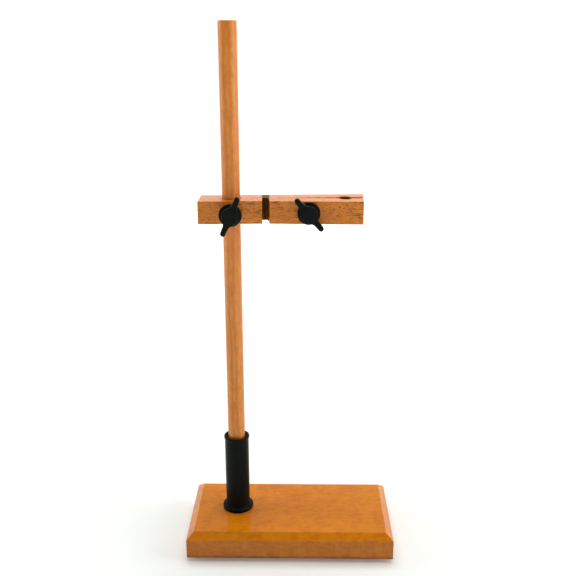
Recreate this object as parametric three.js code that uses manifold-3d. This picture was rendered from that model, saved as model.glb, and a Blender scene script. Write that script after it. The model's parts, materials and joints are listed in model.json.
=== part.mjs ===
// Wooden laboratory stand with a sliding wooden clamp arm.
// Millimetres, +Z up. The origin is on the floor under the middle of the base.
import * as THREE from 'three';
import { mergeVertices } from 'three/addons/utils/BufferGeometryUtils.js';
import Module from 'manifold-3d';

const wasm = await Module();
wasm.setup();

// ---------------------------------------------------------------- dimensions
const FIT = 0.3;                 // clearance between neighbouring pieces

const FOOT_H = 4.5;              // rubber foot, height below the board
const FOOT_R = 8;
const FOOT_X = 94, FOOT_Y = 40;  // foot centres

const BASE_W = 220, BASE_D = 112, BASE_T = 27.5;
const BEVEL_RUN = 7.5, BEVEL_RISE = 6.5;

const ROD_X = -58.7, ROD_Y = 2.2;
const ROD_R = 9.1, ROD_LEN = 500, ROD_TOP = 551;

const SOCKET_R = 13, SOCKET_BORE_R = 9.4, SOCKET_TOP = 120.5;
const SOCKET_LIP_R = 13.8, SOCKET_MOUTH_R = 11.4;
const SOCKET_FLANGE_R = 16.8, SOCKET_FLANGE_T = 4.2;
const SPIGOT_R = 11, SPIGOT_L = 8;

const ARM_YAW = 2.4;             // degrees, swing of the arm about the rod as it stands
const ARM_Z = 359.5, ARM_H = 22.8;
const ARM_FRONT = -17.2, ARM_BACK = 17.8;
const ARM_LEFT = -32.6, ARM_LEFT_BACK = -31.5;          // both ends are cut slightly out of square
const ARM_RIGHT = 132.5, ARM_RIGHT_BACK = 134.6;
const BOSS_RIGHT = 31, LAP_V = 0.7;   // the half lap: the front half is cut away right of BOSS_RIGHT
const ARM_BORE_R = 9.45;

const JAW_LEFT = 36.1, JAW_BACK = 0.4, JAW_FRONT = -18.7;
const JAW_RIGHT_BACK = 132.4, JAW_RIGHT = 131.6;
const JAW_HEEL_SLANT = 9.3;      // degrees, relief cut on the heel end
const JAW_OPEN = 2.5;            // degrees open as it stands
const JAW_DROOP = 0.4;           // degrees, the loose jaw hangs a little at its tip
const GRIP_U = 114, GRIP_R = 6;  // vertical gripping hole shared by the two jaws

const KNOB_FLANGE_R = 11.3, KNOB_FLANGE_T = 2.4, KNOB_HUB_R = 8.3, KNOB_H = 10.6;
const KNOB_SPAN = 41, KNOB_WING_W = 5.2;
const THREAD_R = 3;              // M6
const CLAMP_STANDOFF = 12;       // knob flange to the boss's front face
const JAW_BOLT_U = 76.6;

// ---------------------------------------------------------------- helpers
const rad = (d) => (d * Math.PI) / 180;

function toSolid(geometry) {
  const g = geometry.clone();
  for (const name of Object.keys(g.attributes)) if (name !== 'position') g.deleteAttribute(name);
  const merged = mergeVertices(g, 1e-4);
  const vertProperties = new Float32Array(merged.attributes.position.array);
  const triVerts = new Uint32Array(merged.index.array);
  return new wasm.Manifold(new wasm.Mesh({ numProp: 3, vertProperties, triVerts }));
}

function toGeometry(solid) {
  const m = solid.getMesh();
  const g = new THREE.BufferGeometry();
  const n = m.numProp;
  const p = new Float32Array((m.vertProperties.length / n) * 3);
  for (let i = 0; i < p.length / 3; i++) for (let k = 0; k < 3; k++) p[3 * i + k] = m.vertProperties[n * i + k];
  g.setAttribute('position', new THREE.BufferAttribute(p, 3));
  g.setIndex(new THREE.BufferAttribute(new Uint32Array(m.triVerts), 1));
  g.computeVertexNormals();
  return g;
}

// A turned solid about +Z from [radius, z] points, which start and end on the axis.
function turned(points, segments = 40) {
  const g = new THREE.LatheGeometry(points.map(([r, z]) => new THREE.Vector2(r, z)), segments);
  g.rotateX(Math.PI / 2);
  // LatheGeometry turns about +Y: the rotation sends +Y to +Z.
  return toSolid(g);
}

function box(x0, x1, y0, y1, z0, z1) {
  const g = new THREE.BoxGeometry(x1 - x0, y1 - y0, z1 - z0);
  g.translate((x0 + x1) / 2, (y0 + y1) / 2, (z0 + z1) / 2);
  return toSolid(g);
}

// A prism along +Z from an outline.
function prism(shape, z0, z1, curveSegments = 10) {
  const g = new THREE.ExtrudeGeometry(shape, { depth: z1 - z0, bevelEnabled: false, curveSegments });
  g.translate(0, 0, z0);
  return toSolid(g);
}

const cylinderZ = (r, z0, z1, segments = 40) => turned([[0, z0], [r, z0], [r, z1], [0, z1]], segments);

function polygon(points) {
  const s = new THREE.Shape();
  points.forEach(([x, y], i) => (i ? s.lineTo(x, y) : s.moveTo(x, y)));
  s.closePath();
  return s;
}

const hexagon = (acrossFlats) => {
  const r = acrossFlats / Math.sqrt(3);
  return polygon([...Array(6)].map((_, i) => [r * Math.cos(rad(60 * i)), r * Math.sin(rad(60 * i))]));
};

// Turn a solid made along +Z so that it runs along -Y (towards the front).
const toFront = (solid) => solid.rotate([90, 0, 0]);

function material(color, roughness, metalness = 0) {
  return new THREE.MeshStandardMaterial({ color, roughness, metalness });
}

const WOOD_VARNISHED = { color: 0xb8702c, roughness: 0.3 };
const WOOD_BEECH = { color: 0xc4803f, roughness: 0.55 };
const BLACK = { color: 0x1c1f1e, roughness: 0.45 };
const BRASS = { color: 0xb08d4a, roughness: 0.35, metalness: 1 };
const RUBBER = { color: 0x26262a, roughness: 0.85 };

const stand = new THREE.Group();

function piece(parent, name, solid, look) {
  const mesh = new THREE.Mesh(toGeometry(solid), material(look.color, look.roughness, look.metalness || 0));
  mesh.name = name;
  parent.add(mesh);
  return mesh;
}

// ---------------------------------------------------------------- base board
const BOARD_Z = FOOT_H, BOARD_TOP = FOOT_H + BASE_T;
const POCKET_R = SPIGOT_R + FIT, POCKET_DEEP = SPIGOT_L + FIT;
const BOLT_R = 4, BOLT_HOLE_R = 4.5;
const CBORE_R = 12, CBORE_DEEP = 9;
{
  const g = new THREE.BufferGeometry();
  const hx = BASE_W / 2, hy = BASE_D / 2, ix = hx - BEVEL_RUN, iy = hy - BEVEL_RUN;
  const rings = [
    [hx, hy, BOARD_Z], [hx, hy, BOARD_TOP - BEVEL_RISE], [ix, iy, BOARD_TOP],
  ];
  const v = [];
  for (const [x, y, z] of rings) v.push(-x, -y, z, x, -y, z, x, y, z, -x, y, z);
  const f = [0, 2, 1, 0, 3, 2];
  for (let k = 0; k < 2; k++)
    for (let i = 0; i < 4; i++) {
      const a = 4 * k + i, b = 4 * k + ((i + 1) % 4), c = b + 4, d = a + 4;
      f.push(a, b, c, a, c, d);
    }
  f.push(8, 9, 10, 8, 10, 11);
  g.setAttribute('position', new THREE.BufferAttribute(new Float32Array(v), 3));
  g.setIndex(f);
  let board = toSolid(g);
  const at = (s) => s.translate([ROD_X, ROD_Y, 0]);
  board = board.subtract(at(cylinderZ(POCKET_R, BOARD_TOP - POCKET_DEEP, BOARD_TOP + 1)));
  board = board.subtract(at(cylinderZ(BOLT_HOLE_R, BOARD_Z - 1, BOARD_TOP)));
  board = board.subtract(at(cylinderZ(CBORE_R, BOARD_Z - 1, BOARD_Z + CBORE_DEEP)));
  for (const sx of [-1, 1])
    for (const sy of [-1, 1])
      board = board.subtract(cylinderZ(1.9, BOARD_Z - 1, BOARD_Z + 12.5, 16).translate([sx * FOOT_X, sy * FOOT_Y, 0]));
  piece(stand, 'base_board', board, WOOD_VARNISHED);
}

// ---------------------------------------------------------------- feet and their screws
for (const [name, sx, sy] of [
  ['front_left', -1, -1], ['front_right', 1, -1], ['rear_left', -1, 1], ['rear_right', 1, 1],
]) {
  const foot = turned([
    [0, 0], [FOOT_R - 1.4, 0], [FOOT_R - 0.7, 0.6], [FOOT_R, FOOT_H - FIT], [0, FOOT_H - FIT],
  ], 32)
    .subtract(cylinderZ(4.1, -1, 2.4, 24))
    .subtract(cylinderZ(1.95, -1, FOOT_H + 1, 16));
  const screw = turned([
    [0, 0.7], [2.2, 0.7], [3.6, 1.5], [3.6, 2.1], [1.6, 2.1], [1.6, 14.6], [0, 16.4],
  ], 20);
  piece(stand, `foot_${name}`, foot, RUBBER).position.set(sx * FOOT_X, sy * FOOT_Y, 0);
  piece(stand, `foot_screw_${name}`, screw, BRASS).position.set(sx * FOOT_X, sy * FOOT_Y, 0);
}

// ---------------------------------------------------------------- socket and what holds it
const column = new THREE.Group();
column.position.set(ROD_X, ROD_Y, 0);
stand.add(column);
{
  const z = BOARD_TOP + FIT;               // underside of the flange
  const f = SOCKET_FLANGE_T, floorTop = BOARD_TOP + 6;
  const body = turned([
    [0, BOARD_TOP - SPIGOT_L], [SPIGOT_R, BOARD_TOP - SPIGOT_L], [SPIGOT_R, z],
    [SOCKET_FLANGE_R - 0.6, z], [SOCKET_FLANGE_R, z + 0.6],
    [SOCKET_FLANGE_R, z + f - 1.2], [SOCKET_FLANGE_R - 0.4, z + f - 0.4], [SOCKET_FLANGE_R - 1.2, z + f],
    [SOCKET_R + 0.9, z + f], [SOCKET_R + 0.25, z + f + 0.3], [SOCKET_R, z + f + 1],
    [SOCKET_R, SOCKET_TOP - 3.6], [SOCKET_LIP_R - 0.25, SOCKET_TOP - 2.4],
    [SOCKET_LIP_R, SOCKET_TOP - 1.4], [SOCKET_LIP_R - 0.3, SOCKET_TOP - 0.4], [SOCKET_LIP_R - 1, SOCKET_TOP],
    [SOCKET_MOUTH_R, SOCKET_TOP], [SOCKET_MOUTH_R - 0.8, SOCKET_TOP - 1.6], [SOCKET_BORE_R, SOCKET_TOP - 5],
    [SOCKET_BORE_R, floorTop], [0, floorTop],
  ], 48).subtract(cylinderZ(BOLT_HOLE_R, 0, floorTop + 1, 32));
  piece(column, 'rod_socket', body, BLACK);

  const seat = BOARD_Z + CBORE_DEEP;       // counterbore's ceiling
  const washer = (r, z0, z1) => cylinderZ(r, z0, z1, 32).subtract(cylinderZ(BOLT_R + FIT, z0 - 1, z1 + 1, 32));
  const low = seat - FIT;
  piece(column, 'socket_bolt_washer', washer(10.5, low - 1.6, low), BRASS);
  const head = low - 1.6 - FIT;
  const bolt = prism(hexagon(13), head - 5.3, head).add(
    turned([[0, head - 1], [BOLT_R, head - 1], [BOLT_R, floorTop + 10.4], [BOLT_R - 0.8, floorTop + 11.2], [0, floorTop + 11.2]], 32));
  piece(column, 'socket_bolt', bolt, BRASS);
  piece(column, 'socket_inner_washer', washer(8.4, floorTop + FIT, floorTop + FIT + 1.6), BRASS);
  const nz = floorTop + 2 * FIT + 1.6;
  const nut = prism(hexagon(13), nz, nz + 6.5).subtract(cylinderZ(BOLT_R + FIT, nz - 1, nz + 8, 32));
  piece(column, 'socket_nut', nut, BRASS);

  const rod = turned([
    [0, ROD_TOP - ROD_LEN], [ROD_R - 0.8, ROD_TOP - ROD_LEN], [ROD_R, ROD_TOP - ROD_LEN + 0.8],
    [ROD_R, ROD_TOP - 0.7], [ROD_R - 0.2, ROD_TOP - 0.2], [ROD_R - 0.7, ROD_TOP], [0, ROD_TOP],
  ], 48);
  piece(column, 'rod', rod, WOOD_BEECH);
}

// ---------------------------------------------------------------- clamp arm
// Local frame: u along the arm, v away from the front, w up; the rod's axis is u = v = 0.
const arm = new THREE.Group();
arm.position.set(0, 0, ARM_Z);
arm.rotation.z = rad(ARM_YAW);
column.add(arm);
const MID = ARM_H / 2;
{
  const outline = polygon([
    [ARM_LEFT, ARM_FRONT], [BOSS_RIGHT, ARM_FRONT], [BOSS_RIGHT, LAP_V], [ARM_RIGHT, LAP_V],
    [ARM_RIGHT_BACK, ARM_BACK], [ARM_LEFT_BACK, ARM_BACK],
  ]);
  const beam = prism(outline, 0, ARM_H)
    .subtract(cylinderZ(ARM_BORE_R, -1, ARM_H + 1, 48))
    .subtract(cylinderZ(GRIP_R, -1, ARM_H + 1, 40).translate([GRIP_U, 0, 0]))
    .subtract(toFront(cylinderZ(4.8, -ARM_BORE_R + 3, -ARM_FRONT + 1, 32)).translate([0, 0, MID]))
    .subtract(toFront(cylinderZ(THREAD_R + FIT, -ARM_BACK - 1, 1, 32)).translate([JAW_BOLT_U, 0, MID]));
  piece(arm, 'arm_beam', beam, WOOD_BEECH);

  // threaded insert in the boss's front wall
  const insert = cylinderZ(4.5, 11.6, -ARM_FRONT - 0.1, 32).subtract(cylinderZ(THREAD_R + FIT, 0, 30, 32));
  piece(arm, 'clamp_insert', toFront(insert).translate([0, 0, MID]), BRASS);
}

// A wing knob turned about +Z: flange at z = 0, front at z = KNOB_H, wings along X.
function wingKnob(angle) {
  const h = KNOB_H, r = KNOB_HUB_R;
  const flange = turned([
    [0, 0], [KNOB_FLANGE_R - 0.5, 0], [KNOB_FLANGE_R, 0.5], [KNOB_FLANGE_R, KNOB_FLANGE_T - 0.7],
    [KNOB_FLANGE_R - 0.7, KNOB_FLANGE_T], [0, KNOB_FLANGE_T],
  ], 48);
  const hub = turned([
    [0, 1], [r + 0.2, 1], [r, h - 1.1], [r - 0.3, h - 0.4], [r - 1.1, h], [1.6, h], [0.9, h - 0.5], [0, h - 0.5],
  ], 40);
  const w = KNOB_WING_W / 2, tip = KNOB_SPAN / 2;
  const s = new THREE.Shape();
  const root = 5.2, blend = 11.6;
  s.moveTo(-blend, -w * 1.06);
  s.quadraticCurveTo(-8.6, -w * 1.25, -root, -6.3);
  s.lineTo(root, -6.3);
  s.quadraticCurveTo(8.6, -w * 1.25, blend, -w * 1.06);
  s.lineTo(tip - w, -w);
  s.absarc(tip - w, 0, w, -Math.PI / 2, Math.PI / 2, false);
  s.lineTo(blend, w * 1.06);
  s.quadraticCurveTo(8.6, w * 1.25, root, 6.3);
  s.lineTo(-root, 6.3);
  s.quadraticCurveTo(-8.6, w * 1.25, -blend, w * 1.06);
  s.lineTo(-tip + w, w);
  s.absarc(-tip + w, 0, w, Math.PI / 2, (3 * Math.PI) / 2, false);
  let wings = prism(s, 0.5, h + 0.2, 8);
  // the wings rise towards their tips, seen from the side
  const side = polygon([
    [-tip - 1, 5.2], [-11, 2.6], [-KNOB_HUB_R, 1.2], [KNOB_HUB_R, 1.2], [11, 2.6], [tip + 1, 5.2],
    [tip + 1, h - 0.3], [tip - 3, h + 0.1], [11, h - 0.2], [-11, h - 0.2], [-tip + 3, h + 0.1], [-tip - 1, h - 0.3],
  ]);
  wings = wings.intersect(prism(side, -12, 12).rotate([90, 0, 0]));
  return flange.add(hub).add(wings).rotate([0, 0, angle]);
}

// ---------------------------------------------------------------- clamp screw on the rod
{
  const back = -ARM_FRONT + CLAMP_STANDOFF;   // distance of the knob's flange in front of the rod's axis
  const knob = wingKnob(66.5).subtract(cylinderZ(THREAD_R + FIT, -1, 7.6, 32));
  piece(arm, 'clamp_knob', toFront(knob.translate([0, 0, back])).translate([0, 0, MID]), BLACK);
  const tip = ROD_R + FIT + 1.6 + FIT;        // the stud's shoulder, behind the pressure pad
  const stud = turned([
    [0, tip - 0.9], [1.1, tip - 0.9], [1.1, tip], [THREAD_R - 0.4, tip], [THREAD_R, tip + 0.4],
    [THREAD_R, back + 7.3], [0, back + 7.3],
  ], 28);
  piece(arm, 'clamp_stud', toFront(stud).translate([0, 0, MID]), BRASS);
  const pad = turned([
    [0, ROD_R + FIT], [2.4, ROD_R + FIT], [2.8, ROD_R + FIT + 0.3], [2.8, ROD_R + FIT + 1.6], [0, ROD_R + FIT + 1.6],
  ], 28).subtract(cylinderZ(1.4, tip - 1.2, tip + 1, 20));
  piece(arm, 'pressure_pad', toFront(pad).translate([0, 0, MID]), BRASS);
}

// ---------------------------------------------------------------- front jaw
{
  const lean = (JAW_BACK - JAW_FRONT) * Math.tan(rad(JAW_HEEL_SLANT));
  const outline = polygon([
    [JAW_LEFT, JAW_BACK], [JAW_LEFT + lean, JAW_FRONT], [JAW_RIGHT, JAW_FRONT], [JAW_RIGHT_BACK, JAW_BACK],
  ]);
  const jaw = prism(outline, 0, ARM_H)
    .subtract(cylinderZ(GRIP_R, -1, ARM_H + 1, 40).translate([GRIP_U, 0, 0]))
    .subtract(toFront(cylinderZ(4.3, -5, 30, 32)).translate([JAW_BOLT_U + 0.8, 0, MID]))
    // hang about the bolt, then open about the heel
    .translate([-JAW_BOLT_U, 0, -MID]).rotate([0, JAW_DROOP, 0]).translate([JAW_BOLT_U, 0, MID])
    .translate([-JAW_LEFT, -JAW_BACK, 0]).rotate([0, 0, -JAW_OPEN]).translate([JAW_LEFT, JAW_BACK, 0]);
  piece(arm, 'front_jaw', jaw, WOOD_BEECH);
}

// ---------------------------------------------------------------- jaw bolt, washers and wing nut
{
  const at = (solid) => toFront(solid).translate([JAW_BOLT_U, 0, MID]);
  const ring = (r, z0, z1, bore = THREAD_R + FIT) => cylinderZ(r, z0, z1, 36).subtract(cylinderZ(bore, z0 - 1, z1 + 1, 28));
  const rear = -ARM_BACK - FIT;                       // along -v
  piece(arm, 'jaw_bolt_washer', at(ring(9, rear - 1.5, rear)), BRASS);
  const head = rear - 1.5 - FIT;
  // the jaw's front face at the bolt, and the wedge that its opening leaves under the washer
  const lever = JAW_BOLT_U - JAW_LEFT;
  const face = -JAW_FRONT + lever * Math.tan(rad(JAW_OPEN));
  const washerBack = face + 9 * Math.tan(rad(JAW_OPEN)) + FIT + 0.1;
  const knobBack = washerBack + 1.3 + FIT;
  const bolt = prism(hexagon(10), head - 4, head).add(
    turned([[0, head - 1], [THREAD_R, head - 1], [THREAD_R, knobBack + 5.4], [THREAD_R - 0.5, knobBack + 5.9], [0, knobBack + 5.9]], 28));
  piece(arm, 'jaw_bolt', at(bolt), BRASS);
  piece(arm, 'jaw_washer', at(ring(9, washerBack, washerBack + 1.3)), BRASS);
  const knob = wingKnob(-49.5).subtract(cylinderZ(5.3, -1, 8.2, 32)).translate([0, 0, knobBack]);
  piece(arm, 'jaw_knob', at(knob), BLACK);
  piece(arm, 'jaw_knob_insert', at(ring(5, knobBack + 0.1, knobBack + 7.8)), BRASS);
}

export default stand;
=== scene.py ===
import json
import math
import bpy
import bmesh
import numpy as np
from mathutils import Matrix, Vector


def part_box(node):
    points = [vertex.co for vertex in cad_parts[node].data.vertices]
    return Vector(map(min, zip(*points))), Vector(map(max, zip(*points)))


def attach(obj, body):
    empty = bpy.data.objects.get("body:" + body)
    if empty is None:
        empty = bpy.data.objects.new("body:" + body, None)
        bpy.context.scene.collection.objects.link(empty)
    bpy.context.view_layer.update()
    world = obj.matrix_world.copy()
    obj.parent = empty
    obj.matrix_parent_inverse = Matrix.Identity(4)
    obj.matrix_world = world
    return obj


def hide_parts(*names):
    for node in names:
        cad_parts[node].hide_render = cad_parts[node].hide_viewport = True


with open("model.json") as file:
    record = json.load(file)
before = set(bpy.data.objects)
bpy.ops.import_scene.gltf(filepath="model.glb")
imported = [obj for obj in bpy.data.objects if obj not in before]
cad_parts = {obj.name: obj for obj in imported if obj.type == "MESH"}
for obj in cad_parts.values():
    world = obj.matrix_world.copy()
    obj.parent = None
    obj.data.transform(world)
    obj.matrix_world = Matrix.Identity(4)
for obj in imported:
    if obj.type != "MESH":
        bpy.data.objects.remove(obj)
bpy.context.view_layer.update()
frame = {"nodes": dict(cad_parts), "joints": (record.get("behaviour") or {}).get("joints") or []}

MM = 0.001
JOINTS = {j["name"]: j for j in frame["joints"]}


def mm(node):
    lo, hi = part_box(node)
    return lo * 1000, hi * 1000


# ------------------------------------------------------------------ frames of reference
# Column: on the floor under the rod's axis. Arm: on the rod's axis at the arm's underside,
# X along the arm, Y to the back, Z up. All the builders below work in millimetres.
ROD = Vector(JOINTS["rod_turn"]["pos_m"]) * 1000
V_AXIS = -Vector(JOINTS["pad_feed"]["axis"]).normalized()
U_AXIS = Vector((V_AXIS.y, -V_AXIS.x, 0))
ARM_YAW = math.atan2(U_AXIS.y, U_AXIS.x)
ARM_Z = mm("arm_beam")[0].z
ARM_H = mm("arm_beam")[1].z - ARM_Z
LOW_ARRIS = mm("base_board")[0].z / 1000
COLUMN = Matrix.Translation((ROD.x, ROD.y, 0))
ARM = Matrix.Translation((ROD.x, ROD.y, ARM_Z)) @ Matrix.Rotation(ARM_YAW, 4, "Z")
MID = ARM_H / 2


def in_arm(p_mm):
    return ARM.inverted() @ Vector(p_mm)


# ------------------------------------------------------------------ mesh helpers
def new_object(name, bm):
    me = bpy.data.meshes.new(name)
    bm.to_mesh(me)
    bm.free()
    o = bpy.data.objects.new(name, me)
    bpy.context.scene.collection.objects.link(o)
    return o


def lathe(points, segs=96):
    """A closed solid turned about Z; points run from axis to axis as (radius, height)."""
    bm = bmesh.new()
    rings = []
    for r, z in points:
        if r < 1e-6:
            rings.append([bm.verts.new((0, 0, z))])
        else:
            rings.append([bm.verts.new((r * math.cos(2 * math.pi * i / segs), r * math.sin(2 * math.pi * i / segs), z)) for i in range(segs)])
    for a, b in zip(rings, rings[1:]):
        if len(a) == 1 and len(b) == 1:
            continue
        for i in range(segs):
            j = (i + 1) % segs
            if len(a) == 1:
                bm.faces.new((a[0], b[j], b[i]))
            elif len(b) == 1:
                bm.faces.new((a[i], a[j], b[0]))
            else:
                bm.faces.new((a[i], a[j], b[j], b[i]))
    bmesh.ops.recalc_face_normals(bm, faces=bm.faces)
    return bm


def fillet(points, radii, steps=6):
    """Rounds the corners of a polyline of (x, y); radii has one radius for each point."""
    out = []
    n = len(points)
    for i, (p, r) in enumerate(zip(points, radii)):
        if r <= 0 or i in (0, n - 1):
            out.append(tuple(p))
            continue
        p = Vector(p); a = Vector(points[i - 1]); b = Vector(points[(i + 1) % n])
        da, db = (a - p), (b - p)
        la, lb = da.length, db.length
        da.normalize(); db.normalize()
        ang = da.angle(db)
        t = min(r / math.tan(ang / 2), la * 0.49, lb * 0.49)
        rr = t * math.tan(ang / 2)
        bis = (da + db).normalized()
        c = p + bis * (rr / math.sin(ang / 2))
        s, e = p + da * t, p + db * t
        a0 = math.atan2(s.y - c.y, s.x - c.x); a1 = math.atan2(e.y - c.y, e.x - c.x)
        d = (a1 - a0 + math.pi) % (2 * math.pi) - math.pi
        for k in range(steps + 1):
            q = a0 + d * k / steps
            out.append((c.x + rr * math.cos(q), c.y + rr * math.sin(q)))
    return out


def prism(outline, z0, z1):
    bm = bmesh.new()
    lo = [bm.verts.new((x, y, z0)) for x, y in outline]
    hi = [bm.verts.new((x, y, z1)) for x, y in outline]
    bm.faces.new(list(reversed(lo)))
    bm.faces.new(hi)
    n = len(outline)
    for i in range(n):
        j = (i + 1) % n
        bm.faces.new((lo[i], lo[j], hi[j], hi[i]))
    bmesh.ops.recalc_face_normals(bm, faces=bm.faces)
    return bm


def soften(bm, width, segments=3, angle=20):
    edges = [e for e in bm.edges if len(e.link_faces) == 2 and e.calc_face_angle(0) > math.radians(angle)]
    bmesh.ops.bevel(bm, geom=edges, offset=width, offset_type="OFFSET", segments=segments, profile=0.5, affect="EDGES", clamp_overlap=True)
    return bm


def baked(o):
    dg = bpy.context.evaluated_depsgraph_get()
    dg.update()
    me = bpy.data.meshes.new_from_object(o.evaluated_get(dg))
    old = o.data
    o.modifiers.clear()
    o.data = me
    bpy.data.meshes.remove(old)
    return o


def combine(o, tools, operation="DIFFERENCE"):
    for bm in tools:
        t = new_object("tool", bm)
        m = o.modifiers.new("cut", "BOOLEAN")
        m.operation = operation
        m.solver = "EXACT"
        m.object = t
        baked(o)
        me = t.data
        bpy.data.objects.remove(t)
        bpy.data.meshes.remove(me)
    return o


def moved(bm, matrix):
    bmesh.ops.transform(bm, matrix=matrix, verts=bm.verts)
    return bm


TO_FRONT = Matrix.Rotation(math.radians(90), 4, "X")      # +Z becomes -Y


def place(o, matrix, body, nodes, material, sharp=28):
    """Scales to metres, puts the piece in the row frame, shades it and hooks it to its body."""
    me = o.data
    me.transform(Matrix.Scale(MM, 4) @ matrix)
    bm = bmesh.new()
    bm.from_mesh(me)
    bmesh.ops.remove_doubles(bm, verts=bm.verts, dist=1e-6)
    bmesh.ops.recalc_face_normals(bm, faces=bm.faces)
    for f in bm.faces:
        f.smooth = True
    for e in bm.edges:
        e.smooth = not (len(e.link_faces) == 2 and e.calc_face_angle(0) > math.radians(sharp))
    bm.to_mesh(me)
    bm.free()
    me.materials.clear()
    me.materials.append(material)
    w = o.modifiers.new("even_shading", "WEIGHTED_NORMAL")
    w.keep_sharp = True
    w.weight = 80
    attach(o, body)
    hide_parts(*nodes)
    return o


# ------------------------------------------------------------------ material helpers
class Nodes:
    def __init__(self, name):
        self.mat = bpy.data.materials.new(name)
        self.mat.use_nodes = True
        self.t = self.mat.node_tree
        self.t.nodes.clear()
        self.out = self.t.nodes.new("ShaderNodeOutputMaterial")
        self.bsdf = self.t.nodes.new("ShaderNodeBsdfPrincipled")
        self.t.links.new(self.bsdf.outputs[0], self.out.inputs[0])

    def node(self, kind, **props):
        n = self.t.nodes.new("ShaderNode" + kind)
        for k, v in props.items():
            setattr(n, k, v)
        return n

    def link(self, a, b):
        self.t.links.new(a, b)

    def math(self, op, a, b=None, clamp=False):
        n = self.node("Math", operation=op, use_clamp=clamp)
        for i, v in enumerate((a, b)):
            if v is None:
                continue
            if isinstance(v, (int, float)):
                n.inputs[i].default_value = v
            else:
                self.link(v, n.inputs[i])
        return n.outputs[0]

    def mapping(self, vec, scale=(1, 1, 1), rotation=(0, 0, 0), location=(0, 0, 0)):
        n = self.node("Mapping")
        n.inputs["Scale"].default_value = scale
        n.inputs["Rotation"].default_value = rotation
        n.inputs["Location"].default_value = location
        self.link(vec, n.inputs["Vector"])
        return n.outputs[0]

    def noise(self, vec, scale, detail=2.0, rough=0.5, distortion=0.0):
        n = self.node("TexNoise")
        n.inputs["Scale"].default_value = scale
        n.inputs["Detail"].default_value = detail
        n.inputs["Roughness"].default_value = rough
        n.inputs["Distortion"].default_value = distortion
        self.link(vec, n.inputs["Vector"])
        return n.outputs["Fac"]

    def ramp(self, fac, stops, interpolation="LINEAR"):
        n = self.node("ValToRGB")
        n.color_ramp.interpolation = interpolation
        e = n.color_ramp.elements
        while len(e) > 1:
            e.remove(e[-1])
        e[0].position = stops[0][0]
        e[0].color = colour(stops[0][1])
        for p, c in stops[1:]:
            x = e.new(p)
            x.color = colour(c)
        self.link(fac, n.inputs[0])
        return n.outputs[0]

    def mix(self, fac, a, b, blend="MIX"):
        n = self.node("Mix", data_type="RGBA", blend_type=blend)
        for key, v in ((0, fac), (6, a), (7, b)):
            if isinstance(v, (int, float)):
                n.inputs[key].default_value = v
            elif isinstance(v, tuple):
                n.inputs[key].default_value = colour(v)
            else:
                self.link(v, n.inputs[key])
        return n.outputs[2]

    def remap(self, v, a, b, c, d):
        n = self.node("MapRange")
        n.inputs[1].default_value = a
        n.inputs[2].default_value = b
        n.inputs[3].default_value = c
        n.inputs[4].default_value = d
        self.link(v, n.inputs[0])
        return n.outputs[0]

    def bump(self, height, distance, strength=1.0, normal=None):
        n = self.node("Bump")
        n.inputs["Distance"].default_value = distance
        n.inputs["Strength"].default_value = strength
        self.link(height, n.inputs["Height"])
        if normal is not None:
            self.link(normal, n.inputs["Normal"])
        return n.outputs[0]


def colour(c):
    if isinstance(c, (int, float)):
        return (c, c, c, 1)
    return (c[0], c[1], c[2], 1)


def srgb(r, g, b):
    def f(v):
        v /= 255
        return v / 12.92 if v <= 0.04045 else ((v + 0.055) / 1.055) ** 2.4
    return (f(r), f(g), f(b))


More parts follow.
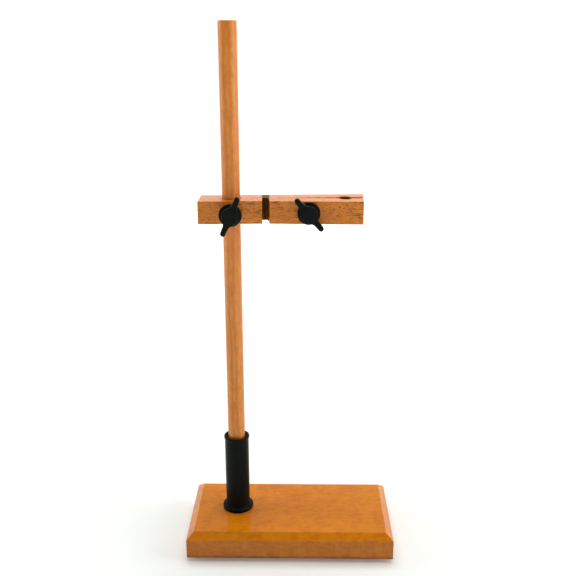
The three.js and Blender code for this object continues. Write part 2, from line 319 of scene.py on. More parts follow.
def wood(name, turn, light, mid, dark, fleck, fleck_amount=0.6, fleck_scale=(200, 1250, 1250), ring_scale=60.0, ring_centre=(0, 0, 0),
         rough=(0.3, 0.45), spec=0.3, coat=0.5, coat_rough=0.12, bump=0.00004, figure=0.5, mottle=0.0, streak_amount=0.4, shade=None,
         patch_scale=(90, 120, 120), saw_marks_and_shade=0.0, fleck_cut=0.60):
    """Varnished beech. turn rotates the row frame so that the grain runs along X; colours are linear."""
    n = Nodes(name)
    tc = n.node("TexCoord").outputs["Object"]
    p = n.mapping(tc, rotation=turn)
    # slow drift of colour along the board
    drift = n.noise(n.mapping(p, scale=(7, 45, 45)), 1.0, 3.0, 0.55, 0.3)
    # growth rings round a centre outside the piece
    ring_vec = n.mapping(p, scale=(0.35, 1, 1), location=ring_centre)
    wob = n.noise(n.mapping(p, scale=(5, 18, 18)), 1.0, 2.0, 0.5)
    rings = n.node("TexWave", wave_type="RINGS", rings_direction="X", wave_profile="SIN")
    n.link(ring_vec, rings.inputs["Vector"])
    rings.inputs["Scale"].default_value = ring_scale
    rings.inputs["Distortion"].default_value = 2.4
    rings.inputs["Detail"].default_value = 2.0
    rings.inputs["Detail Scale"].default_value = 0.9
    n.link(n.math("MULTIPLY", wob, 6.0), rings.inputs["Phase Offset"])
    grain = n.math("ADD", n.math("MULTIPLY", rings.outputs["Fac"], figure * 0.55), n.math("MULTIPLY", drift, 1.0 - figure * 0.3))
    base = n.ramp(n.remap(grain, 0.15, 1.05, 0, 1), [(0.0, dark), (0.5, mid), (1.0, light)])
    # soft patches under the varnish
    patch = n.noise(n.mapping(p, scale=patch_scale, location=(1.3, 0.2, 2.2)), 1.0, 4.0, 0.62, 0.4)
    if mottle:
        base = n.mix(n.remap(patch, 0.36, 0.62, mottle, 0.0), base, dark, "MIX")
    # fine streaks along the grain
    streak = n.noise(n.mapping(p, scale=(45, 1000, 1000)), 1.0, 3.0, 0.6)
    base = n.mix(n.remap(streak, 0.42, 0.66, 0.0, streak_amount), base, dark, "MIX")
    # short medullary flecks, in two sizes
    fl = n.noise(n.mapping(p, scale=fleck_scale, location=(3.1, 1.7, 0.6)), 1.0, 0.0, 0.5, 0.25)
    small = n.noise(n.mapping(p, scale=tuple(2.1 * k for k in fleck_scale), location=(7.1, 3.7, 9.6)), 1.0, 0.0, 0.5)
    many = n.noise(n.mapping(p, scale=(35, 90, 90), location=(0.4, 2.0, 5.0)), 1.0, 1.0, 0.5)
    mask = n.math("MULTIPLY", n.remap(fl, fleck_cut, fleck_cut + 0.06, 0.0, 1.0), n.remap(many, 0.35, 0.6, 0.45, 1.0))
    mask = n.math("MAXIMUM", mask, n.remap(small, 0.64, 0.72, 0.0, 0.6))
    base = n.mix(n.math("MULTIPLY", mask, fleck_amount), base, fleck)
    geo = n.node("NewGeometry")
    # upright saw marks on the board's edges over a painted shade that darkens every upright face, and a painted shade
    # along its lowest arris
    if saw_marks_and_shade:
        facing = n.node("SeparateXYZ")
        n.link(geo.outputs["Normal"], facing.inputs[0])
        upright = n.remap(n.math("ABSOLUTE", facing.outputs["Z"]), 0.1, 0.3, 1.0, 0.0)
        marks = n.noise(n.mapping(p, scale=(520, 520, 18)), 1.0, 2.0, 0.6)
        # saw marks, laid over a steady painted shade (0.15 towards dark) on every upright face
        base = n.mix(n.math("MULTIPLY", upright, n.remap(marks, 0.36, 0.62, 0.15, 0.15 + saw_marks_and_shade)), base, dark)
        where = n.node("SeparateXYZ")
        n.link(tc, where.inputs[0])
        # painted shade: the lowest few millimetres of the upright faces darken to a near-black brown along the bottom
        # arris
        painted_bottom_shade = n.remap(where.outputs["Z"], LOW_ARRIS + 0.0012, LOW_ARRIS + 0.0036, 0.8, 0.0)
        base = n.mix(n.math("MULTIPLY", upright, painted_bottom_shade), base, (0.16, 0.035, 0.004))
    # edges that hands and benches have rubbed
    wear = n.noise(n.mapping(p, scale=(120, 300, 300)), 1.0, 4.0, 0.6)
    pt = n.remap(geo.outputs["Pointiness"], 0.505, 0.54, 0.0, 1.0)
    base = n.mix(n.math("MULTIPLY", pt, n.remap(wear, 0.4, 0.62, 0.05, 0.4)), base, light)
    # painted shade in the lap's slot and the grip hole; its mask also takes the coat off there
    if shade:
        base, painted_shade_and_bare = shade(n, tc, base)
    n.link(base, n.bsdf.inputs["Base Color"])
    n.link(n.remap(n.math("ADD", n.math("MULTIPLY", streak, 0.5), n.math("MULTIPLY", wear, 0.5)), 0.3, 0.7, rough[0], rough[1]),
           n.bsdf.inputs["Roughness"])
    n.bsdf.inputs["Specular IOR Level"].default_value = spec
    if shade:
        n.link(n.remap(painted_shade_and_bare, 0.0, 1.0, coat, 0.0), n.bsdf.inputs["Coat Weight"])
    else:
        n.bsdf.inputs["Coat Weight"].default_value = coat
    n.bsdf.inputs["Coat Roughness"].default_value = coat_rough
    height = n.math("SUBTRACT", n.math("MULTIPLY", streak, 0.7), n.math("MULTIPLY", mask, 0.8))
    n.link(n.bump(height, bump, 1.0), n.bsdf.inputs["Normal"])
    ripple = n.noise(n.mapping(p, scale=(35, 120, 120)), 1.0, 2.0, 0.5)
    n.link(n.bump(ripple, bump * 1.5, 1.0), n.bsdf.inputs["Coat Normal"])
    return n.mat


def lap_shade(n, tc, base):
    """Painted shade, in a dark hatched colour, inside the half lap's slot and on the upright walls of the grip hole;
    the same mask takes the coat off there, leaving the wood bare.
    """
    q = n.mapping(tc, rotation=(0, 0, -ARM_YAW), location=tuple(-v for v in (Matrix.Rotation(-ARM_YAW, 3, "Z") @ Vector((ROD.x * MM, ROD.y * MM, 0)))))
    sep = n.node("SeparateXYZ")
    n.link(q, sep.inputs[0])
    x, y = sep.outputs["X"], sep.outputs["Y"]
    slot = n.math("MULTIPLY", n.remap(x, 0.0306, 0.0310, 0, 1), n.remap(x, 0.0385, 0.0378, 0, 1))
    deep = n.remap(y, -0.0165, -0.010, 0.0, 1.0)
    grip = n.node("VectorMath", operation="DISTANCE")
    flat = n.node("CombineXYZ")
    n.link(x, flat.inputs[0]); n.link(y, flat.inputs[1])
    n.link(flat.outputs[0], grip.inputs[0])
    grip.inputs[1].default_value = (0.114, -0.0016, 0)
    hole = n.remap(grip.outputs["Value"], 0.0082, 0.0074, 0.0, 1.0)
    geo = n.node("NewGeometry")
    up = n.node("SeparateXYZ")
    n.link(geo.outputs["Normal"], up.inputs[0])
    side = n.remap(n.math("ABSOLUTE", up.outputs["Z"]), 0.35, 0.75, 1.0, 0.0)
    # mask of the painted shade: the deep part of the slot, and the upright walls of the grip hole
    m = n.math("MAXIMUM", n.math("MULTIPLY", slot, deep), n.math("MULTIPLY", hole, side))
    hatch = n.noise(n.mapping(q, scale=(900, 900, 60)), 1.0, 2.0, 0.6)
    dark = n.ramp(hatch, [(0.35, (0.06, 0.025, 0.006)), (0.6, (0.16, 0.075, 0.027)), (0.8, (0.30, 0.15, 0.06))])
    return n.mix(n.math("MULTIPLY", m, 0.94), base, dark), m


def plastic(name, base, rough=(0.3, 0.42), grain_scale=2600.0, bump=0.00001):
    n = Nodes(name)
    p = n.node("TexCoord").outputs["Object"]
    blotch = n.noise(p, 90.0, 4.0, 0.6)
    fine = n.noise(p, grain_scale, 2.0, 0.6)
    scuff = n.noise(n.mapping(p, scale=(700, 700, 90)), 1.0, 3.0, 0.7)
    geo = n.node("NewGeometry")
    edge = n.remap(geo.outputs["Pointiness"], 0.51, 0.56, 0.0, 1.0)
    c = n.mix(n.remap(blotch, 0.3, 0.7, 0.0, 1.0), base, tuple(v * 1.5 + 0.001 for v in base))
    c = n.mix(n.math("MULTIPLY", edge, n.remap(scuff, 0.4, 0.65, 0.1, 0.5)), c, tuple(v * 3 + 0.01 for v in base))
    n.link(c, n.bsdf.inputs["Base Color"])
    r = n.math("ADD", n.math("MULTIPLY", blotch, 0.6), n.math("MULTIPLY", scuff, 0.4))
    n.link(n.remap(r, 0.3, 0.7, rough[0], rough[1]), n.bsdf.inputs["Roughness"])
    n.bsdf.inputs["Specular IOR Level"].default_value = 0.07
    n.link(n.bump(n.math("ADD", fine, n.math("MULTIPLY", scuff, 0.5)), bump, 1.0), n.bsdf.inputs["Normal"])
    return n.mat


def brass(name):
    n = Nodes(name)
    p = n.node("TexCoord").outputs["Object"]
    turnmarks = n.noise(n.mapping(p, scale=(300, 300, 4200)), 1.0, 2.0, 0.5)
    tarnish = n.noise(p, 260.0, 5.0, 0.65)
    c = n.ramp(tarnish, [(0.3, srgb(120, 88, 42)), (0.55, srgb(190, 150, 84)), (0.75, srgb(214, 178, 108))])
    n.link(c, n.bsdf.inputs["Base Color"])
    n.bsdf.inputs["Metallic"].default_value = 1.0
    n.link(n.remap(tarnish, 0.3, 0.7, 0.45, 0.24), n.bsdf.inputs["Roughness"])
    n.link(n.bump(turnmarks, 0.00001, 1.0), n.bsdf.inputs["Normal"])
    return n.mat


def rubber(name):
    n = Nodes(name)
    p = n.node("TexCoord").outputs["Object"]
    dust = n.noise(p, 420.0, 5.0, 0.65)
    fine = n.noise(p, 3200.0, 2.0, 0.5)
    c = n.ramp(dust, [(0.35, srgb(26, 26, 28)), (0.6, srgb(38, 38, 40)), (0.8, srgb(70, 68, 66))])
    n.link(c, n.bsdf.inputs["Base Color"])
    n.link(n.remap(dust, 0.3, 0.7, 0.75, 0.92), n.bsdf.inputs["Roughness"])
    n.link(n.bump(fine, 0.00003, 1.0), n.bsdf.inputs["Normal"])
    return n.mat


BOARD_WOOD = wood("varnished_board", (0, 0, 0), light=(0.77, 0.262, 0.008), mid=(0.68, 0.208, 0.003), dark=(0.48, 0.122, 0.001),
                  fleck=(0.36, 0.09, 0.002), fleck_amount=0.28, fleck_scale=(520, 700, 700), ring_scale=22.0, ring_centre=(0, 0.03, 0.09),
                  rough=(0.4, 0.5), spec=0.02, coat=0.66, coat_rough=0.06, bump=0.00002, figure=0.15, mottle=0.65, streak_amount=0.12,
                  patch_scale=(85, 55, 60), saw_marks_and_shade=0.5)
ARM_WOOD = wood("beech_arm", (0, 0, -ARM_YAW), light=(0.80, 0.295, 0.022), mid=(0.74, 0.210, 0.005), dark=(0.57, 0.138, 0.003),
                fleck=(0.24, 0.050, 0.001), fleck_amount=1.0, fleck_scale=(260, 900, 900), ring_scale=45.0, ring_centre=(0, 0.045, 0.02),
                rough=(0.4, 0.52), spec=0.02, coat=0.55, coat_rough=0.12, bump=0.00002, fleck_cut=0.575, figure=0.3, mottle=0.4, streak_amount=0.3, shade=lap_shade)
ROD_WOOD = wood("beech_rod", (0, math.radians(90), 0), light=(0.85, 0.375, 0.088), mid=(0.77, 0.270, 0.042), dark=(0.55, 0.150, 0.014),
                fleck=(0.50, 0.14, 0.012), fleck_amount=0.5, fleck_scale=(150, 1300, 1300), ring_scale=60.0, ring_centre=(0, 0.02, 0.05),
                rough=(0.42, 0.55), spec=0.10, coat=0.45, coat_rough=0.2, bump=0.00003, figure=0.6, mottle=0.45, streak_amount=0.5)
BLACK = plastic("black_moulding", (0.0034, 0.0048, 0.0036), rough=(0.34, 0.44))
BRASS = brass("brass_fittings")
RUBBER = rubber("rubber_feet")

# ------------------------------------------------------------------ base board
lo, hi = mm("base_board")
FL, FH = mm("foot_front_left")
board_z, board_top = lo.z, hi.z
RUN, RISE = 7.5, 6.5
bm = bmesh.new()
rings = []
for x, y, z in ((hi.x, hi.y, board_z), (hi.x, hi.y, board_top - RISE), (hi.x - RUN, hi.y - RUN, board_top)):
    rings.append([bm.verts.new(c) for c in ((-x, -y, z), (x, -y, z), (x, y, z), (-x, y, z))])
bm.faces.new(list(reversed(rings[0])))
bm.faces.new(rings[2])
for a, b in zip(rings, rings[1:]):
    for i in range(4):
        j = (i + 1) % 4
        bm.faces.new((a[i], a[j], b[j], b[i]))
soften(bm, 0.9, 4, 15)
board = new_object("board", bm)
s_lo, s_hi = mm("rod_socket")
cuts = [
    moved(lathe([(0, board_top - 8.3), (11.3, board_top - 8.3), (11.3, board_top - 0.4), (11.8, board_top + 1), (0, board_top + 1)]), COLUMN),
    moved(lathe([(0, board_z - 1), (4.5, board_z - 1), (4.5, board_top), (0, board_top)], 48), COLUMN),
    moved(lathe([(0, board_z - 1), (12.6, board_z - 1), (12.0, board_z + 0.6), (12.0, board_z + 9), (0, board_z + 9)]), COLUMN),
]
FEET = {}
for f in ("front_left", "front_right", "rear_left", "rear_right"):
    a, b = mm(f"foot_{f}")
    FEET[f] = ((a.x + b.x) / 2, (a.y + b.y) / 2)
    cuts.append(moved(lathe([(0, board_z - 1), (1.9, board_z - 1), (1.9, board_z + 11.4), (0, board_z + 12.5)], 32), Matrix.Translation((*FEET[f], 0))))
combine(board, cuts)
place(board, Matrix.Identity(4), "stand", ["base_board"], BOARD_WOOD)

# ------------------------------------------------------------------ feet and screws
for f, (x, y) in FEET.items():
    a, b = mm(f"foot_{f}")
    h = b.z
    profile = fillet([(0, 0), (6.6, 0), (7.3, 0.6), (8, h), (0, h)], [0, 0.5, 0.5, 0.25, 0], 5)
    o = new_object(f"rubber_foot_{f}", lathe(profile, 72))
    combine(o, [lathe(fillet([(0, -1), (4.4, -1), (4.1, 0.4), (4.1, 2.4), (1.95, 2.4), (1.95, h + 1), (0, h + 1)], [0, 0, 0.3, 0.2, 0.2, 0, 0], 4), 48)])
    place(o, Matrix.Translation((x, y, 0)), "stand", [f"foot_{f}"], RUBBER)
    head = fillet([(0, 0.7), (2.2, 0.75), (3.55, 1.5), (3.6, 2.1), (1.6, 2.1), (1.6, 14.6), (0, 16.4)], [0, 1.2, 0.25, 0.1, 0, 0.3, 0], 4)
    o = new_object(f"foot_screw_piece_{f}", lathe(head, 48))
    cross = []
    for k in (0, 90):
        b2 = prism([(-1.5, -0.32), (1.5, -0.32), (1.5, 0.32), (-1.5, 0.32)], 0, 1.5)
        cross.append(moved(b2, Matrix.Rotation(math.radians(k + 25 + 40 * (x > 0)), 4, "Z")))
    combine(o, cross)
    place(o, Matrix.Translation((x, y, 0)), "stand", [f"foot_screw_{f}"], BRASS)

# ------------------------------------------------------------------ socket
top = s_hi.z
z = board_top + 0.3
profile = [
    (0, board_top - 8), (11, board_top - 8), (11, z), (16.8, z),
    (16.8, z + 4.2), (13.0, z + 4.2), (13.0, top - 3.7), (13.75, top - 2.6), (13.8, top), (11.4, top),
    (10.5, top - 1.8), (9.4, top - 5), (9.4, board_top + 6), (0, board_top + 6),
]
radii = [0, 0.5, 0.2, 0.5, 1.5, 1.2, 1.5, 0.6, 1.2, 0.5, 1.5, 1.5, 0.8, 0]
socket = new_object("socket_moulding", lathe(fillet(profile, radii, 7), 128))
combine(socket, [lathe([(0, 0), (4.5, 0), (4.5, board_top + 8), (0, board_top + 8)], 48)])
place(socket, COLUMN, "stand", ["rod_socket"], BLACK)

# ------------------------------------------------------------------ hidden socket bolt
def hexagon(af, z0, z1, chamfer=0.6, both=False):
    r = af / math.sqrt(3)
    bm = prism([(r * math.cos(math.radians(60 * i)), r * math.sin(math.radians(60 * i))) for i in range(6)], z0, z1)
    o = new_object("hex", soften(bm, 0.15, 2, 20))
    c = r - 0.15
    pts = [(0, z0 - 0.01), (c if both else r + 1, z0 - 0.01), (r + 0.2, z0 + chamfer if both else z0), (r + 0.2, z1 - chamfer), (c - 0.35, z1 + 0.01), (0, z1 + 0.01)]
    combine(o, [lathe(pts, 64)], "INTERSECT")
    return o


def to_bm(o):
    bm = bmesh.new()
    bm.from_mesh(o.data)
    me = o.data
    bpy.data.objects.remove(o)
    bpy.data.meshes.remove(me)
    return bm


def thread(r, z0, z1, pitch=1.0, depth=0.28, segs=40):
    """A screw thread as rings of shallow ridges with ends rounded off."""
    pts = [(0, z0), (r - 0.5, z0), (r - depth, z0 + 0.3)]
    k = z0 + 0.5
    while k + pitch <= z1 - 0.4:
        pts += [(r - depth, k + 0.05), (r - 0.02, k + pitch * 0.42), (r - 0.02, k + pitch * 0.58), (r - depth, k + pitch * 0.95)]
        k += pitch
    pts += [(r - depth, z1 - 0.3), (r - 0.5, z1), (0, z1)]
    return lathe(pts, segs)


def washer(name, r, bore, z0, z1, matrix, body, node):
    e = min(0.35, (z1 - z0) / 3)
    p = fillet([(0, z0), (r, z0), (r, z1), (0, z1)], [0, e, e, 0], 4)
    o = new_object(name, lathe(p, 72))
    combine(o, [lathe([(0, z0 - 1), (bore, z0 - 1), (bore, z1 + 1), (0, z1 + 1)], 48)])
    return place(o, matrix, body, [node], BRASS)


a, b = mm("socket_bolt_washer"); washer("under_washer", 10.5, 4.3, a.z, b.z, COLUMN, "stand", "socket_bolt_washer")
a, b = mm("socket_inner_washer"); washer("inner_washer", 8.4, 4.3, a.z, b.z, COLUMN, "stand", "socket_inner_washer")
a, b = mm("socket_bolt")
o = hexagon(13, a.z, a.z + 5.3, 0.7, True)
combine(o, [lathe(fillet([(0, a.z + 4), (4, a.z + 4), (4, b.z), (0, b.z)], [0, 0, 0.7, 0], 3), 48)], "UNION")
place(o, COLUMN, "stand", ["socket_bolt"], BRASS)
a, b = mm("socket_nut")
o = hexagon(13, a.z, b.z, 0.8, True)
combine(o, [lathe([(0, a.z - 1), (4.9, a.z - 1), (4.3, a.z + 0.6), (4.3, b.z - 0.6), (4.9, b.z + 1), (0, b.z + 1)], 48)])
place(o, COLUMN, "stand", ["socket_nut"], BRASS)

# ------------------------------------------------------------------ rod
a, b = mm("rod")
rod_r = (b.x - a.x) / 2
o = new_object("dowel_rod", lathe(fillet([(0, a.z), (rod_r, a.z), (rod_r, b.z), (0, b.z)], [0, 0.9, 0.9, 0], 6), 128))
place(o, COLUMN, "rod", ["rod"], ROD_WOOD)

# ------------------------------------------------------------------ arm beam
nodes = frame["nodes"]
def local_box(node):
    inv = ARM.inverted()
    co = np.array([tuple(inv @ (v.co * 1000)) for v in nodes[node].data.vertices])
    return co.min(0), co.max(0)


blo, bhi = local_box("arm_beam")
BOSS, LAP = 31.0, 0.7
BORE_R, GRIP_R, GRIP_U = 9.45, 6.0, 114.0
bolt_lo, bolt_hi = local_box("jaw_bolt_washer")
BOLT_U = (bolt_lo[0] + bolt_hi[0]) / 2
outline = [(blo[0], blo[1]), (BOSS, blo[1]), (BOSS, LAP), (bhi[0] - 2.1, LAP), (bhi[0], bhi[1]), (blo[0] + 1.1, bhi[1])]
bm = soften(prism(outline, 0, ARM_H), 0.5, 3)
beam = new_object("beam", bm)


def bore_cutter(r, z0, z1, rim=0.6, segs=96):
    return lathe([(0, z0 - 2), (r + rim + 2, z0 - 2), (r, z0 + rim), (r, z1 - rim), (r + rim + 2, z1 + 2), (0, z1 + 2)], segs)


cuts = [
    bore_cutter(BORE_R, 0, ARM_H, 0.5),
    moved(bore_cutter(GRIP_R, 0, ARM_H, 0.5), Matrix.Translation((GRIP_U, 0, 0))),
    moved(lathe([(0, -6.4), (4.8, -6.4), (4.8, -blo[1] - 0.5), (6.3, -blo[1] + 1), (0, -blo[1] + 1)], 64), Matrix.Translation((0, 0, MID)) @ TO_FRONT),
    moved(lathe([(0, -bhi[1] - 1), (3.3, -bhi[1] - 1), (3.3, 1), (0, 1)], 48), Matrix.Translation((BOLT_U, 0, MID)) @ TO_FRONT),
]
combine(beam, cuts)
place(beam, ARM, "arm", ["arm_beam"], ARM_WOOD)

# threaded insert in the boss
ilo, ihi = local_box("clamp_insert")
o = new_object("boss_insert", lathe(fillet([(0, -ihi[1]), (4.5, -ihi[1]), (4.5, -ilo[1]), (0, -ilo[1])], [0, 0.4, 0.4, 0], 3), 64))
combine(o, [lathe([(0, -ihi[1] - 1), (3.3, -ihi[1] - 1), (3.3, -ilo[1] - 0.5), (3.9, -ilo[1] + 1), (0, -ilo[1] + 1)], 48)])
place(o, ARM @ Matrix.Translation((0, 0, MID)) @ TO_FRONT, "arm", ["clamp_insert"], BRASS)

# ------------------------------------------------------------------ front jaw
JAW_LEFT, JAW_BACK, JAW_FRONT, JAW_RIGHT, JAW_RIGHT_BACK = 36.1, 0.4, -18.7, 131.6, 132.4
HEEL, OPEN, DROOP = 9.3, 2.5, 0.4
lean = (JAW_BACK - JAW_FRONT) * math.tan(math.radians(HEEL))
JAW_AT = (Matrix.Translation((JAW_LEFT, JAW_BACK, 0)) @ Matrix.Rotation(math.radians(-OPEN), 4, "Z") @ Matrix.Translation((-JAW_LEFT, -JAW_BACK, 0))
          @ Matrix.Translation((BOLT_U, 0, MID)) @ Matrix.Rotation(math.radians(DROOP), 4, "Y") @ Matrix.Translation((-BOLT_U, 0, -MID)))
outline = [(JAW_LEFT, JAW_BACK), (JAW_LEFT + lean, JAW_FRONT), (JAW_RIGHT, JAW_FRONT), (JAW_RIGHT_BACK, JAW_BACK)]
jaw = new_object("jaw_piece", soften(prism(outline, 0, ARM_H), 0.5, 3))
combine(jaw, [
    moved(bore_cutter(GRIP_R, 0, ARM_H, 0.5), Matrix.Translation((GRIP_U, 0, 0))),
    moved(lathe([(0, -5), (4.3, -5), (4.3, 18.2), (5.8, 20.2), (0, 20.2)], 48), Matrix.Translation((BOLT_U + 0.8, 0, MID)) @ TO_FRONT),
])
place(jaw, ARM @ JAW_AT, "jaw", ["front_jaw"], ARM_WOOD)

# ------------------------------------------------------------------ knobs
FLANGE_R, FLANGE_T, HUB_R, KNOB_H, SPAN, WING_W = 11.3, 2.4, 8.3, 10.6, 41.0, 5.2


def wing_knob(name, cut):
    """A moulded wing knob, flange at z 0, wings along X, in its own frame."""
    h = KNOB_H
    o = new_object(name, lathe(fillet([(0, 0), (FLANGE_R, 0), (FLANGE_R, FLANGE_T), (0, FLANGE_T)], [0, 0.5, 0.9, 0], 5), 96))
    hub = lathe(fillet([(0, 1), (HUB_R + 0.2, 1), (HUB_R, h), (1.4, h), (0.9, h - 0.5), (0, h - 0.5)], [0, 0, 1.0, 0.3, 0.2, 0], 6), 96)
    w, tip, blend = WING_W / 2, SPAN / 2, 11.6
    half = [(-blend, w * 1.06)]
    pts = []
    def quad(p0, p1, p2, k=8):
        return [((1 - t) ** 2 * p0[0] + 2 * t * (1 - t) * p1[0] + t * t * p2[0], (1 - t) ** 2 * p0[1] + 2 * t * (1 - t) * p1[1] + t * t * p2[1]) for t in [i / k for i in range(k + 1)]]
    q = quad((5.2, -6.3), (8.6, -w * 1.25), (blend, -w * 1.06))
    right = q + [(tip - w + w * math.cos(a), w * math.sin(a)) for a in np.linspace(-math.pi / 2, math.pi / 2, 13)] + [(x, -y) for x, y in reversed(q)]
    pts = right + [(-x, -y) for x, y in right]
    side = [(-tip - 1, 5.2), (-11, 2.6), (-HUB_R, 1.2), (HUB_R, 1.2), (11, 2.6), (tip + 1, 5.2),
            (tip + 1, h - 0.3), (tip - 3, h + 0.1), (11, h - 0.2), (-11, h - 0.2), (-tip + 3, h + 0.1), (-tip - 1, h - 0.3)]
    wings = new_object("wings", prism(pts, 0.5, h + 0.2))
    combine(wings, [moved(prism(side, -12, 12), Matrix.Rotation(math.radians(90), 4, "X"))], "INTERSECT")
    combine(o, [hub, to_bm(wings)], "UNION")
    m = o.modifiers.new("skin", "REMESH")
    m.mode = "VOXEL"
    m.voxel_size = 0.26
    m = o.modifiers.new("soft", "SMOOTH")
    m.factor = 0.5
    m.iterations = 6
    baked(o)
    combine(o, [cut])
    return o


def hub_axis(node):
    l, h = local_box(node)
    return l, h


CLAMP_BACK = -local_box("clamp_knob")[1][1]
o = wing_knob("clamp_wing_knob", lathe([(0, -1), (3.9, -1), (3.3, 0.5), (3.3, 7.6), (0, 7.6)], 48))
place(o, ARM @ Matrix.Translation((0, 0, MID)) @ TO_FRONT @ Matrix.Translation((0, 0, CLAMP_BACK)) @ Matrix.Rotation(math.radians(66.5), 4, "Z"),
      "clamp_screw", ["clamp_knob"], BLACK, 60)
slo, shi = local_box("clamp_stud")
z0, z1 = -shi[1], -slo[1]
o = new_object("clamp_screw_stud", thread(3.0, z0 + 0.9, z1))
combine(o, [lathe(fillet([(0, z0), (1.1, z0), (1.1, z0 + 1.5), (0, z0 + 1.5)], [0, 0.2, 0, 0], 3), 32)], "UNION")
place(o, ARM @ Matrix.Translation((0, 0, MID)) @ TO_FRONT, "clamp_screw", ["clamp_stud"], BRASS, 25)
plo, phi = local_box("pressure_pad")
z0, z1 = -phi[1], -plo[1]
o = new_object("screw_pad", lathe(fillet([(0, z0), (2.8, z0), (2.8, z1), (0, z1)], [0, 0.35, 0.2, 0], 3), 48))
combine(o, [lathe([(0, z1 - 1.3 + 0.4), (1.4, z1 - 0.9), (1.4, z1 + 1), (0, z1 + 1)], 32)])
place(o, ARM @ Matrix.Translation((0, 0, MID)) @ TO_FRONT, "clamp_pad", ["pressure_pad"], BRASS)

AT_BOLT = ARM @ Matrix.Translation((BOLT_U, 0, MID)) @ TO_FRONT
z0, z1 = -bolt_hi[1], -bolt_lo[1]
washer("rear_washer", 9.0, 3.3, z0, z1, AT_BOLT, "arm", "jaw_bolt_washer")
l, h = local_box("jaw_bolt")
z0, z1 = -h[1], -l[1]
o = hexagon(10, z0, z0 + 4, 0.5, True)
combine(o, [thread(3.0, z0 + 3, z1, 1.0)], "UNION")
place(o, AT_BOLT, "arm", ["jaw_bolt"], BRASS, 25)
l, h = local_box("jaw_washer")
washer("front_washer", 9.0, 3.3, -h[1], -l[1], AT_BOLT, "nut_washer", "jaw_washer")
KNOB_BACK = -local_box("jaw_knob")[1][1]
o = wing_knob("jaw_wing_knob", lathe([(0, -1), (5.3, -1), (5.3, 8.2), (0, 8.2)], 48))
place(o, AT_BOLT @ Matrix.Translation((0, 0, KNOB_BACK)) @ Matrix.Rotation(math.radians(-49.5), 4, "Z"),
      "wing_nut", ["jaw_knob"], BLACK, 60)
l, h = local_box("jaw_knob_insert")
z0, z1 = -h[1], -l[1]
o = new_object("wing_nut_insert", lathe(fillet([(0, z0), (5, z0), (5, z1), (0, z1)], [0, 0.3, 0.3, 0], 3), 64))
combine(o, [lathe([(0, z0 - 1), (3.9, z0 - 1), (3.3, z0 + 0.5), (3.3, z1 + 1), (0, z1 + 1)], 48)])
place(o, AT_BOLT, "wing_nut", ["jaw_knob_insert"], BRASS)

# ------------------------------------------------------------------ floor, lights, camera
bm = bmesh.new()
bmesh.ops.create_grid(bm, x_segments=4, y_segments=4, size=12.0)
floor = new_object("floor", bm)
white = Nodes("floor_white")
fp = white.node("TexCoord").outputs["Object"]
k = white.noise(fp, 40.0, 3.0, 0.6)
white.link(white.mix(white.remap(k, 0.3, 0.7, 0, 1), (0.775, 0.805, 0.77), (0.765, 0.795, 0.76)), white.bsdf.inputs["Base Color"])
white.bsdf.inputs["Roughness"].default_value = 0.9
white.bsdf.inputs["Specular IOR Level"].default_value = 0.0
white.bsdf.inputs["Emission Color"].default_value = (1, 1, 1, 1)
# a faint glow, the same all round the stand, that keeps the sheet pale away from the lights
fs = white.node("SeparateXYZ")
white.link(fp, fs.inputs[0])
far = white.math("SQRT", white.math("ADD", white.math("MULTIPLY", fs.outputs["X"], fs.outputs["X"]),
                                   white.math("MULTIPLY", fs.outputs["Y"], fs.outputs["Y"])))
white.link(white.remap(far, 0.1, 1.5, 0.14, 0.95), white.bsdf.inputs["Emission Strength"])
floor.data.materials.append(white.mat)

world = bpy.data.worlds.new("studio")
bpy.context.scene.world = world
world.use_nodes = True
t = world.node_tree
t.nodes.clear()
out = t.nodes.new("ShaderNodeOutputWorld")
bg = t.nodes.new("ShaderNodeBackground")
tc = t.nodes.new("ShaderNodeTexCoord")
sep = t.nodes.new("ShaderNodeSeparateXYZ")


def smooth(value, a, b, c, d):
    n = t.nodes.new("ShaderNodeMapRange")
    n.interpolation_type = "SMOOTHSTEP"
    for i, v in enumerate((a, b, c, d)):
        n.inputs[i + 1].default_value = v
    t.links.new(value, n.inputs[0])
    return n.outputs[0]


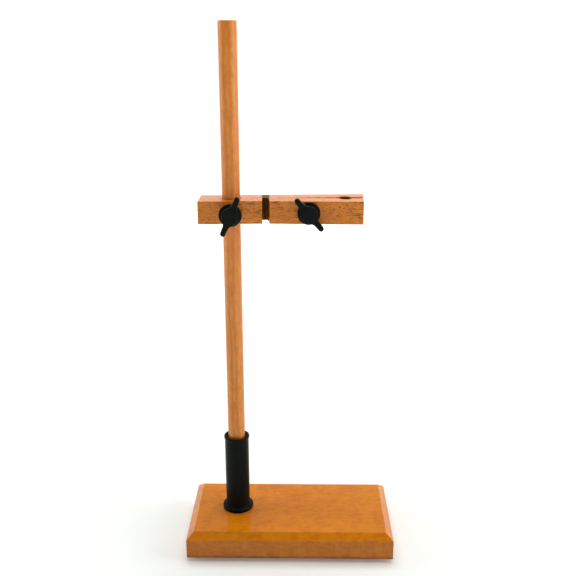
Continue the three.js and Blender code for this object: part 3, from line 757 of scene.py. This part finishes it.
t.links.new(tc.outputs["Generated"], sep.inputs[0])
low = smooth(sep.outputs["Z"], 0.24, 0.80, 1.0, 0.0)
behind = smooth(sep.outputs["Y"], -0.45, 0.0, 0.0, 1.0)
both = t.nodes.new("ShaderNodeMath")
both.operation = "MULTIPLY"
t.links.new(low, both.inputs[0])
t.links.new(behind, both.inputs[1])
strength = smooth(both.outputs[0], 0.0, 1.0, 0.12, 1.08)
t.links.new(strength, bg.inputs["Strength"])
bg.inputs["Color"].default_value = (1, 1, 1, 1)
t.links.new(bg.outputs[0], out.inputs[0])


def area(name, at, look, size, power, shape="RECTANGLE", size_y=None, tint=(1, 1, 1)):
    d = bpy.data.lights.new(name, "AREA")
    d.shape = shape
    d.size = size
    if size_y:
        d.size_y = size_y
    d.energy = power
    d.color = tint
    o = bpy.data.objects.new(name, d)
    bpy.context.scene.collection.objects.link(o)
    o.location = at
    o.rotation_euler = (Vector(look) - Vector(at)).to_track_quat("-Z", "Y").to_euler()
    return o


area("overhead", (0.0, 0.30, 1.7), (0, 0.05, 0.2), 1.4, 23.0, size_y=1.1)
area("right", (1.35, -0.25, 0.75), (0, 0, 0.3), 0.8, 8.5, size_y=1.1)
area("left", (-1.4, 0.1, 0.75), (0, 0, 0.3), 0.6, 3.0, size_y=1.1)
area("front", (-0.3, -1.3, 1.7), (0, 0, 0.25), 1.0, 0.6, size_y=0.7)

cam = bpy.data.cameras.new("camera")
camera = bpy.data.objects.new("camera", cam)
bpy.context.scene.collection.objects.link(camera)
pitch, yaw, roll = math.radians(17.001), math.radians(0.974), math.radians(-0.149)
fwd = Vector((-math.sin(yaw) * math.cos(pitch), math.cos(yaw) * math.cos(pitch), -math.sin(pitch)))
right = Vector((math.cos(yaw), math.sin(yaw), 0))
up = right.cross(fwd)
r = right * math.cos(roll) + up * math.sin(roll)
u = -right * math.sin(roll) + up * math.cos(roll)
m = Matrix((r, u, -fwd)).transposed().to_4x4()
m.translation = Vector((0.01135, -0.78801, 0.5301))
camera.matrix_world = m
cam.sensor_width = 36.0
cam.lens = 50.0
cam.clip_start = 0.02
cam.clip_end = 60.0
bpy.context.scene.camera = camera
bpy.context.scene.view_settings.view_transform = "Standard"
bpy.context.scene.view_settings.look = "None"
